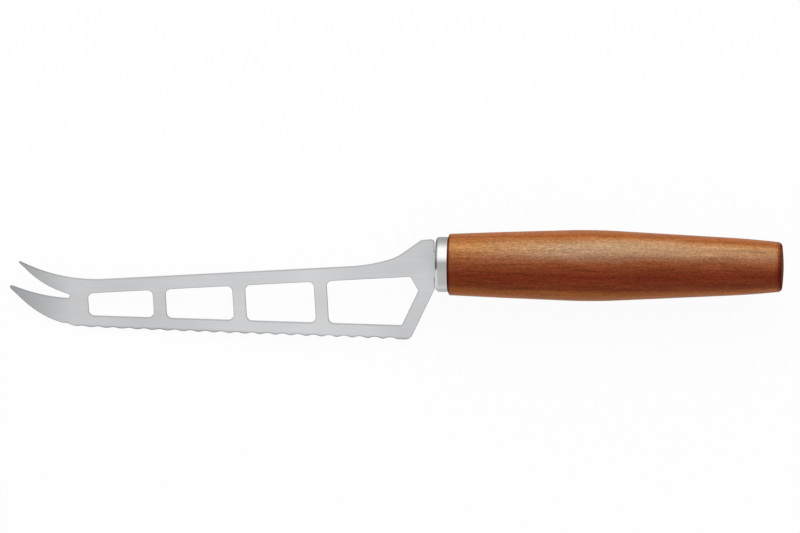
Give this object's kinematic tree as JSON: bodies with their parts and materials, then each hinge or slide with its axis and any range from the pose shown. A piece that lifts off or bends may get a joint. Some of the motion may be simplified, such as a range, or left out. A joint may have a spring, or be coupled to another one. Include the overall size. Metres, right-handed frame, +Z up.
{
  "type": "cheese knife",
  "caption": "Cheese knife with a forked tip, windows through a thin scalloped blade, a steel collar and a turned wooden handle.",
  "frame": {"origin": "middle of the knife's length and width, on the table that it lies on", "axes": "+X from the tip of the blade to the butt of the handle, +Y from the cutting edge to the spine, +Z up from the table"},
  "size_m": [0.2904, 0.0418, 0.027],
  "materials": {
    "blade_steel": "fine satin, brushed lengthwise",
    "collar_steel": "turned and polished",
    "handle_wood": "turned plum wood, oiled"
  },
  "bodies": {
    "root": {"blade": "blade_steel", "ferrule": "collar_steel", "handle": "handle_wood"}
  },
  "joints": []
}
